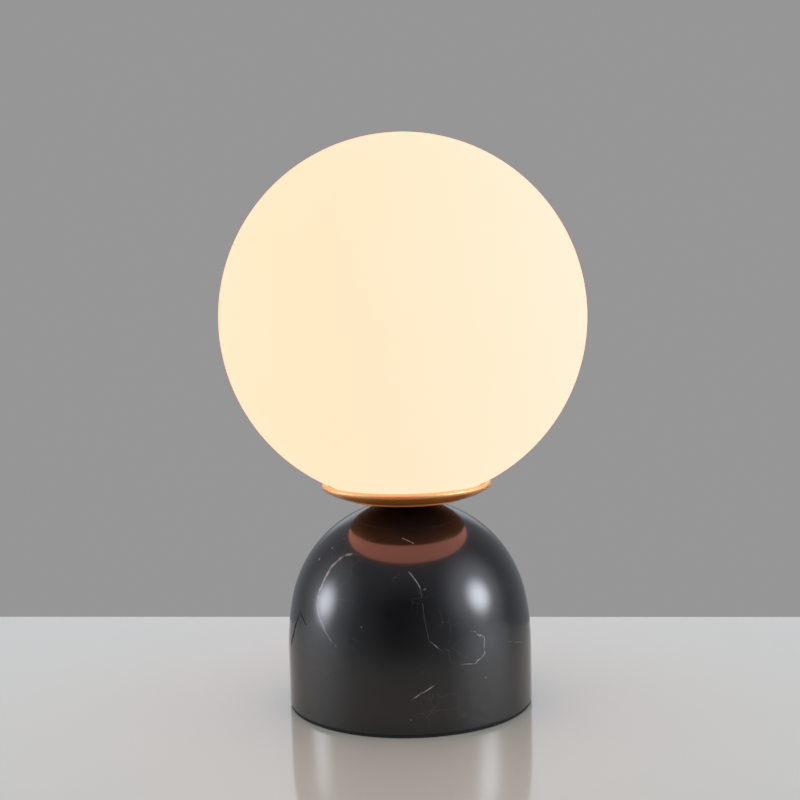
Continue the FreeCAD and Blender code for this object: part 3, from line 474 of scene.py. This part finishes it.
def opal_glass():
    """Three-layer opal glass, mouth blown, with a satin outside, lit from inside.

    It glows evenly and warmly, with faint broad clouds in the white layer. Its glow is painted a
    little paler towards the right, a painted reflection of the room's light on that side.
    """
    made, tree, shader, where = finish(
        "opal_glass_blown", Roughness=0.8, IOR=1.5, Base_Color=linear("2b2927"),
        Emission_Strength=1.0)
    radius = reach("glass_globe") * MM
    # Painted reflection: the glow colour turns paler towards the right, by sideways position alone.
    sideways = add(tree, "SeparateXYZ", (where,), "X")
    sideways = add(tree, "MapRange", (sideways, -0.4 * radius, 0.9 * radius, 0.0, 1.0))
    clouds = add(tree, "TexNoise", {"Vector": where, "Scale": per(55), "Detail": 2.0})
    share = add(tree, "Math", (clouds, 0.4, sideways), operation="MULTIPLY_ADD")
    share = add(tree, "MapRange", (share, 0.15, 1.25, 0.0, 1.0))
    glow = add(
        tree, "Mix", {0: share, 6: (2.35, 0.80, 0.535, 1.0), 7: (2.15, 0.84, 0.63, 1.0)}, 2,
        data_type="RGBA")
    drive(tree, shader, Emission_Color=glow)
    return made


def bronze_plate():
    """Brass pressed to shape, plated rose bronze, polished and lacquered.

    A soft warm sheen with faint turning rings; the rolled rim is painted paler as a painted highlight.
    """
    made, tree, shader, where = finish(
        "rose_bronze_plated", Metallic=1.0, Coat_Weight=0.5, Coat_Roughness=0.1)
    flat = add(tree, "VectorMath", (where, (1.0, 1.0, 0.0)), operation="MULTIPLY")
    radius = add(tree, "VectorMath", (flat,), "Value", operation="LENGTH")
    rings = add(
        tree, "TexNoise", {"W": radius, "Scale": per(0.6), "Detail": 2.0}, noise_dimensions="1D")
    clouds = add(tree, "TexNoise", {"Vector": where, "Scale": per(18), "Detail": 3.0})
    share = add(tree, "MapRange", (clouds, 0.3, 0.7, 0.0, 1.0))
    bowl = add(tree, "Mix", {0: share, 6: linear("e8964a"), 7: linear("dd8c42")}, 2, data_type="RGBA")
    # Painted highlight: the top of the rolled rim gets a paler colour, standing in for the globe's glow
    # mirrored there.
    height = add(tree, "SeparateXYZ", (where,), "Z")
    rim_top = high("shade_dish") * MM
    painted_rim_highlight = add(tree, "MapRange", (height, rim_top - 2.6 * MM, rim_top - 1.2 * MM, 0.0, 1.0))
    tone = add(tree, "Mix", {0: painted_rim_highlight, 6: bowl, 7: linear("efcf9a")}, 2, data_type="RGBA")
    drive(
        tree, shader, Base_Color=tone,
        Roughness=add(tree, "MapRange", (clouds, 0.3, 0.7, 0.56, 0.64)),
        Normal=add(tree, "Bump", {"Height": rings, "Distance": 0.004 * MM}))
    return made


def plain(name, colour, other, roughness, size=8.0, depth=0.01, **constants):
    """A moulded or cast surface: two close tones, a little uneven gloss and a fine skin."""
    made, tree, shader, where = finish(name, **constants)
    clouds = add(tree, "TexNoise", {"Vector": where, "Scale": per(size), "Detail": 3.0})
    skin = add(tree, "TexNoise", {"Vector": where, "Scale": per(size / 16), "Detail": 3.0})
    share = add(tree, "MapRange", (clouds, 0.35, 0.65, 0.0, 1.0))
    drive(
        tree, shader,
        Base_Color=add(
            tree, "Mix", {0: share, 6: linear(colour), 7: linear(other)}, 2, data_type="RGBA"),
        Roughness=add(tree, "MapRange", (clouds, 0.3, 0.7, roughness * 0.85, roughness * 1.15)),
        Normal=add(tree, "Bump", {"Height": skin, "Distance": depth * MM}))
    return made


def metal(name, colour, other, roughness, size=5.0):
    """A stamped, rolled or plated metal: two close tones and a slightly cloudy gloss."""
    made, tree, shader, where = finish(name, Metallic=1.0)
    clouds = add(tree, "TexNoise", {"Vector": where, "Scale": per(size), "Detail": 4.0})
    skin = add(tree, "TexNoise", {"Vector": where, "Scale": per(size / 12), "Detail": 3.0})
    share = add(tree, "MapRange", (clouds, 0.3, 0.7, 0.0, 1.0))
    drive(
        tree, shader,
        Base_Color=add(
            tree, "Mix", {0: share, 6: linear(colour), 7: linear(other)}, 2, data_type="RGBA"),
        Roughness=add(tree, "MapRange", (clouds, 0.3, 0.7, roughness * 0.8, roughness * 1.2)),
        Normal=add(tree, "Bump", {"Height": skin, "Distance": 0.004 * MM}))
    return made


def spring_steel():
    """Cold-rolled spring strip, left blank: darker, with fine rolling lines up each leaf."""
    made, tree, shader, where = finish("spring_steel_cold_rolled", Metallic=1.0)
    drawn_out = add(tree, "VectorMath", (where, (1.0, 1.0, 0.08)), operation="MULTIPLY")
    lines = add(tree, "TexNoise", {"Vector": drawn_out, "Scale": per(0.35), "Detail": 2.0})
    drive(
        tree, shader,
        Base_Color=add(
            tree, "Mix", {0: lines, 6: linear("8d9196"), 7: linear("a3a6a9")}, 2, data_type="RGBA"),
        Roughness=add(tree, "MapRange", (lines, 0.3, 0.7, 0.22, 0.34)),
        Normal=add(tree, "Bump", {"Height": lines, "Distance": 0.004 * MM}))
    return made


def frosted_diffuser():
    """Blow-moulded frosted polycarbonate, lit from inside: a soft glow, brightest at the crown."""
    made, tree, shader, where = finish(
        "polycarbonate_frosted", Roughness=0.38, Base_Color=linear("8f8b84"), Emission_Strength=1.0)
    height = add(tree, "SeparateXYZ", (where,), "Z")
    foot = low("bulb_diffuser") * MM
    crown = high("bulb_diffuser") * MM
    climb = add(tree, "MapRange", (height, foot, crown, 0.0, 1.0))
    mist = add(tree, "TexNoise", {"Vector": where, "Scale": per(3), "Detail": 2.0})
    share = add(tree, "Math", (mist, 0.15, climb), operation="MULTIPLY_ADD")
    frost = add(tree, "TexNoise", {"Vector": where, "Scale": per(0.3), "Detail": 3.0})
    drive(
        tree, shader,
        Emission_Color=add(
            tree, "Mix", {0: share, 6: (1.25, 0.72, 0.45, 1.0), 7: (1.7, 1.0, 0.68, 1.0)}, 2,
            data_type="RGBA"),
        Normal=add(tree, "Bump", {"Height": frost, "Distance": 0.006 * MM}))
    return made


def striped_sheath():
    """Extruded PVC, green with a yellow stripe down one side, and a fine drawn skin."""
    made, tree, shader, where = finish("pvc_extruded_green_yellow", Roughness=0.35)
    sideways = add(tree, "SeparateXYZ", (where,), "X")
    stripe = add(tree, "MapRange", (sideways, -0.2 * MM, 0.2 * MM, 0.0, 1.0))
    skin = add(tree, "TexNoise", {"Vector": where, "Scale": per(0.4), "Detail": 3.0})
    drive(
        tree, shader,
        Base_Color=add(
            tree, "Mix", {0: stripe, 6: linear("2f7a3a"), 7: linear("d8c93a")}, 2, data_type="RGBA"),
        Normal=add(tree, "Bump", {"Height": skin, "Distance": 0.004 * MM}))
    return made


marble = black_marble()
opal = opal_glass()
bronze = bronze_plate()
blade = spring_steel()
diffuser = frosted_diffuser()
earth_sheath = striped_sheath()
# Bright zinc plating: a cool grey with cloudy passivation.
zinc = metal("steel_zinc_plated", "b4b7bb", "a5a9ad", 0.30)
# Stamped brass: warm yellow and bright.
brass = metal("brass_stamped", "d9b56b", "cba65c", 0.22)
# Bright rolled aluminium: nearly white.
aluminium = metal("aluminium_rolled_bright", "d2d1cd", "c3c2be", 0.20)
# Solder that cooled in a drop: dull silver with small clouds.
solder = metal("solder_cooled", "a9a9a8", "98989a", 0.38, size=2.0)
# Vulcanised rubber: dull and nearly black.
rubber = plain("vulcanised_rubber", "161616", "1d1c1c", 0.55)
# Cellular rubber cut from sheet: black and matt, with small pores.
foam = plain("cellular_rubber_sheet", "18181a", "222224", 0.85, size=1.5, depth=0.06)
# Cast silicone: milky, a little translucent, with a soft gloss.
silicone = plain("silicone_cast", "d3cfc4", "c8c3b6", 0.42, Subsurface_Weight=0.2)
# Moulded black polyester: an even deep black with a low gloss.
polyester = plain("polyester_moulded_black", "141415", "1a1a1b", 0.30)
# Moulded nylon: warm off-white and waxy.
nylon = plain("nylon_moulded", "dcdad4", "d2d0c9", 0.45, size=5.0)
# Glazed steatite: cream and very glossy, with a slight orange peel.
steatite = plain("steatite_glazed", "e2ded6", "d6d2c9", 0.12, size=5.0, depth=0.02)
# Black glass fused between the cap and its contact: smooth and shiny.
vitrite = plain("vitrite_glass_fused", "0d0d0f", "17171a", 0.10, size=2.0)
# Moulded white polybutylene: clean white with a satin skin.
housing_plastic = plain("polybutylene_moulded_white", "e3e2df", "dbdad6", 0.33)
# White solder mask, screened on: a little uneven.
board_white = plain("solder_mask_white", "dfe0db", "d3d5cf", 0.40, size=3.0)
# Green solder mask over copper.
board_green = plain("solder_mask_green", "1f5a34", "2a6a3d", 0.32, size=3.0)
# Yellow phosphor in cast silicone on each chip.
phosphor = plain("phosphor_silicone_cast", "e6c74c", "dcb93f", 0.45, size=1.0)
# Black sleeve shrunk over the driver's parts.
sleeve_black = plain("heat_shrunk_sleeve", "1a1a1d", "26262a", 0.40, size=3.0)
# Extruded PVC sheaths of the live and neutral wires.
brown_sheath = plain("pvc_extruded_brown", "5b3319", "4f2b14", 0.35, size=3.0)
blue_sheath = plain("pvc_extruded_blue", "2a55a8", "234a96", 0.35, size=3.0)

# ---------------------------------------------------------------- base

base_radius = reach("marble_base")
marble_bottom = low("marble_base")
side_top = 32.3                 # the straight side ends here
crown_top = 112.7               # of the dome before its seat is ground flat
shoulder_radius = 137.0
base_edge = 1.0                 # rounded lower edge
tube_hole = 5.05                # radius of the holes that the threaded tube fills
fit = 0.3                       # play round a piece in its recess
edge_round = 0.3                # of turned and cut edges
inlet_hole = 5.5                # radii of the stepped hole for the cord's bush
inlet_flange = 7.55
inlet_flange_thickness = 2.0
inlet_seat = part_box("cord_inlet")[1].y / MM - inlet_flange_thickness


def laid_back(mesh):
    """Turns a mesh made along +Z to run out of the back, at the inlet's height."""
    bush_low, bush_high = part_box("cord_inlet")
    turn = Matrix.Rotation(math.radians(-90), 3, "X")
    bmesh.ops.rotate(mesh, cent=(0, 0, 0), matrix=turn, verts=mesh.verts)
    bmesh.ops.translate(mesh, vec=(0, 0, (bush_low.z + bush_high.z) / 2), verts=mesh.verts)
    return mesh


def marble_base():
    """The dome: straight side, shoulder arc and crown arc, with its flat seat, bore and recess."""
    shoulder_x = base_radius - shoulder_radius
    rise = crown_top - side_top
    crown_radius = (shoulder_radius**2 - rise**2 - shoulder_x**2) / (2 * (shoulder_radius - rise))
    crown_centre = crown_top - crown_radius
    shoulder_sweep = math.degrees(math.atan2(crown_centre - side_top, -shoulder_x))
    seat_radius = reach("spacer_washer") + fit
    crown_sweep = math.degrees(math.acos(seat_radius / crown_radius)) - shoulder_sweep
    seat_z = low("spacer_washer")
    bore = 5.75
    recess = 42.0
    recess_top = high("soft_washer")
    rebate = reach("cover_plate") + fit
    rebate_top = high("cover_plate")
    shape = Outline(rebate, marble_bottom)
    shape.to(base_radius, marble_bottom, base_edge)
    shape.to(base_radius, side_top)
    shape.arc((shoulder_x, side_top), shoulder_sweep, 44)
    shape.arc((0, crown_centre), crown_sweep, 36)
    shape.to(bore, seat_z).to(bore, recess_top).to(recess, recess_top).to(recess, rebate_top)
    shape.to(rebate, rebate_top).close()
    hole = Outline(0, 0).to(inlet_hole, 0).to(inlet_hole, inlet_seat).to(inlet_flange, inlet_seat)
    hole.to(inlet_flange, 80).to(0, 80)
    body = bored(shape.turned(256), laid_back(hole.turned(64)))
    piece("base_of_marble", body, "lamp_base", marble, "black_marble", "marble_base")


def pad():
    """Cut sheet with a slightly rounded edge, nearly flush with the marble."""
    inset = 0.6
    radius = base_radius - inset
    top = high("base_pad")
    shape = Outline(0, 0).to(radius, 0, edge_round).to(radius, top).to(0, top)
    piece("pad_under_base", shape.turned(160), "lamp_base", foam, "foam_pad", "base_pad")


def spacer():
    """Soft washer that keeps the dish off the marble."""
    radius = reach("spacer_washer")
    bottom = low("spacer_washer")
    top = high("spacer_washer")
    shape = Outline(tube_hole, bottom).to(radius, bottom, edge_round)
    shape.to(radius, top, edge_round).to(tube_hole, top).close()
    piece("spacer_under_dish", shape.turned(96), "lamp_base", rubber, "black_rubber", "spacer_washer")


marble_base()
pad()
spacer()

# ---------------------------------------------------------------- dish and globe

bead_radius = 1.65
foot_radius = 32.0
foot_height = 1.1
dish_wall = 1.2
bowl_radius = 26.0              # arc of the bowl's outer face, from its foot to its rim


def shade_dish():
    """Shallow pressed bowl with a stepped foot and a rolled rim, drawn from the rim's middle."""
    bottom = low("shade_dish")
    floor = low("clip_plate")
    bead = Vector((reach("shade_dish") - bead_radius, high("shade_dish") - bead_radius))
    foot = Vector((foot_radius, bottom + foot_height))
    to_bead = bowl_radius - bead_radius
    span = bead - foot
    along = (bowl_radius**2 - to_bead**2 + span.length_squared) / (2 * span.length)
    aside = math.sqrt(bowl_radius**2 - along**2)
    centre = foot + (along * span + aside * Vector((-span.y, span.x))) / span.length
    outer_sweep = math.degrees((foot - centre).angle(bead - centre))
    inner_radius = bowl_radius - dish_wall
    bend = math.degrees(math.acos(
        (inner_radius**2 - to_bead**2 - bead_radius**2) / (2 * to_bead * bead_radius)))
    step_radius = foot_radius - dish_wall
    shape = Outline(tube_hole, bottom)
    shape.to(foot_radius, bottom, edge_round).to(*foot, 0.2)
    shape.arc(centre, outer_sweep, 28)
    shape.arc(bead, 360 - bend, 44)
    inner_start = Vector((shape.last.co.x, shape.last.co.z)) / MM - centre
    inner_end = math.degrees(math.acos((step_radius - centre.x) / inner_radius))
    inner_sweep = inner_end - math.degrees(math.atan2(-inner_start.y, inner_start.x))
    shape.arc(centre, -inner_sweep, 24)
    shape.to(step_radius, floor, edge_round).to(tube_hole, floor).close()
    piece("dish_of_bronze", shape.turned(256), "lamp_base", bronze, "bronze_plate", "shade_dish")


def globe():
    """The blown ball, with the ground and rounded edge of its hole."""
    radius = reach("glass_globe")
    centre = (0, high("glass_globe") - radius)
    wall = 3.0
    hole = 32.0
    ground_round = 0.8
    outer_tilt = math.degrees(math.acos(hole / radius))
    inner_tilt = math.degrees(math.acos(hole / (radius - wall)))
    outer_z = centre[1] - radius * math.sin(math.radians(outer_tilt))
    inner_z = centre[1] - (radius - wall) * math.sin(math.radians(inner_tilt))
    shape = Outline(hole, outer_z, ground_round)
    shape.arc(centre, outer_tilt + 90, 120).to_axis()
    shape.to(0, centre[1] + radius - wall)
    shape.arc(centre, -inner_tilt - 90, 110)
    shape.note(ground_round)
    shape.close()
    piece("globe_of_opal_glass", shape.turned(200), "globe", opal, "opal_glass", "glass_globe")


shade_dish()
globe()

# ---------------------------------------------------------------- cord inlet


def cord_inlet():
    """Flanged bush with a softly rounded mouth, laid out of the back of the base."""
    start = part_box("cord_inlet")[0].y / MM
    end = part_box("cord_inlet")[1].y / MM
    flange = reach("cord_inlet")
    bush = 5.45
    bore = 3.5
    flange_round = 0.5
    mouth_round = 1.0
    shape = Outline(bore, start).to(bush, start, edge_round).to(bush, inlet_seat)
    shape.to(flange, inlet_seat).to(flange, end, flange_round).to(bore, end, mouth_round).close()
    piece("inlet_bush", laid_back(shape.turned(64)), "lamp_base", rubber, "black_rubber", "cord_inlet")


cord_inlet()

# ---------------------------------------------------------------- rolled screw threads

thread_pitch = 25.4 / 7
thread_depth = 0.8              # from root to crest
thread_gap = 0.3                # between the bulb's cap and the holder's shell
cap_crest = reach("bulb_cap")
cap_middle = cap_crest - thread_depth / 2
thread_start = low("bulb_cap")  # both threads share one phase, so that the bulb can screw out


def rolled_thread(middle_radius, bottom, top):
    """A round rolled thread as an open screw surface that fades to a plain edge at both ends."""
    half_pitch = thread_pitch / 2
    swell = thread_depth / 2
    round_radius = half_pitch**2 / (8 * swell) + swell / 2
    half_sweep = math.degrees(math.asin(half_pitch / 2 / round_radius))
    turns_below = math.ceil((thread_start - bottom) / thread_pitch) + 1
    start = thread_start - turns_below * thread_pitch
    turns = math.ceil((top - start) / thread_pitch) + 1
    shape = Outline(middle_radius, start)
    shape.arc((middle_radius + swell - round_radius, start + half_pitch / 2), 2 * half_sweep, 8)
    shape.arc((middle_radius - swell + round_radius, start + 1.5 * half_pitch), -2 * half_sweep, 8)
    mesh = shape.turned(72, rise=thread_pitch, turns=turns)
    for z, outwards in ((bottom, -1), (top, 1)):
        geometry = mesh.verts[:] + mesh.edges[:] + mesh.faces[:]
        bmesh.ops.bisect_plane(
            mesh, geom=geometry, dist=1e-6, plane_co=(0, 0, z * MM), plane_no=(0, 0, outwards),
            clear_outer=True)
    fade = 1.6
    for vertex in mesh.verts:
        to_end = min(vertex.co.z / MM - bottom, top - vertex.co.z / MM)
        share = min(1.0, max(0.0, to_end / fade))
        radius = vertex.co.xy.length
        wanted = middle_radius * MM + (radius - middle_radius * MM) * share
        vertex.co.xy *= wanted / radius
    return mesh


def edge_loop(mesh, z):
    """The open edges that lie at a height."""
    return [edge for edge in mesh.edges if edge.is_boundary and all(
        abs(vertex.co.z - z * MM) < AT_HEIGHT for vertex in edge.verts)]


def carry_on(mesh, loop, factor, rise):
    """Extends an open loop: the new loop is scaled about the axis and moved up."""
    grown = bmesh.ops.extrude_edge_only(mesh, edges=loop)["geom"]
    corners = [item for item in grown if isinstance(item, bmesh.types.BMVert)]
    bmesh.ops.scale(mesh, vec=(factor, factor, 1.0), verts=corners)
    bmesh.ops.translate(mesh, vec=(0, 0, rise * MM), verts=corners)
    return [item for item in grown if isinstance(item, bmesh.types.BMEdge)]


def bulb_cap():
    """Thin rolled cap: an edge crimped in over the insulator, the thread, and a plain skirt."""
    bottom = low("bulb_cap")
    top = high("bulb_cap")
    skirt = 3.2
    shoulder = 0.7
    crimp = 0.8
    crimp_reach = 0.9
    wall = 0.3
    mesh = rolled_thread(cap_middle, bottom + crimp, top - skirt)
    loop = edge_loop(mesh, bottom + crimp)
    carry_on(mesh, loop, (cap_middle - crimp_reach) / cap_middle, -crimp)
    loop = edge_loop(mesh, top - skirt)
    loop = carry_on(mesh, loop, cap_crest / cap_middle, shoulder)
    carry_on(mesh, loop, 1.0, skirt - shoulder)
    bmesh.ops.recalc_face_normals(mesh, faces=mesh.faces)
    bmesh.ops.solidify(mesh, geom=mesh.faces[:], thickness=wall * MM)
    piece("bulb_cap_rolled", mesh, "bulb", aluminium, "nickel_cap", "bulb_cap", sharp_degrees=50)


def thread_shell():
    """Rolled shell in the holder, with its floor turned in over the insulator."""
    bottom = low("thread_shell")
    top = high("thread_shell")
    floor = 0.5
    floor_hole = 11.4
    mouth = 0.6
    mouth_flare = 0.25
    middle = cap_middle + thread_gap
    wall = 0.35
    mesh = rolled_thread(middle, bottom + floor, top - mouth)
    loop = edge_loop(mesh, bottom + floor)
    loop = carry_on(mesh, loop, 1.0, -floor)
    carry_on(mesh, loop, floor_hole / middle, 0.0)
    loop = edge_loop(mesh, top - mouth)
    carry_on(mesh, loop, (middle + mouth_flare) / middle, mouth)
    bmesh.ops.recalc_face_normals(mesh, faces=mesh.faces)
    bmesh.ops.solidify(mesh, geom=mesh.faces[:], thickness=-wall * MM)
    piece(
        "thread_shell_rolled", mesh, "lamp_base", brass, "contact_brass", "thread_shell", sharp_degrees=50)


bulb_cap()
thread_shell()

# ---------------------------------------------------------------- carried-over nodes

cad_finishes = (
    (zinc, ("cover_plate", "cover_screws", "threaded_tube", "clamp_washer", "lock_washer", "base_nut",
            "upper_nut", "clip_plate", "leaf_rivets", "terminal_screws", "block_screws")),
    (blade, ("leaf_springs",)),
    (nylon, ("screw_anchors", "terminal_block")),
    (rubber, ("soft_washer",)),
    (silicone, ("seat_ring",)),
    (polyester, ("holder_cap", "holder_shell")),
    (steatite, ("holder_insulator",)),
    (brass, ("holder_terminals", "holder_contact_screws", "centre_contact", "terminal_barrels",
             "earth_tag")),
    (solder, ("bulb_tip",)),
    (vitrite, ("bulb_cap_insulator",)),
    (housing_plastic, ("bulb_housing",)),
    (diffuser, ("bulb_diffuser",)),
    (board_white, ("led_board",)),
    (phosphor, ("led_chips",)),
    (board_green, ("driver_board",)),
    (sleeve_black, ("driver_parts",)),
    (brown_sheath, ("live_wire",)),
    (blue_sheath, ("neutral_wire",)),
    (earth_sheath, ("earth_wire",)),
)
for material, names in cad_finishes:
    for name in names:
        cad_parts[name].material_slots[0].material = material
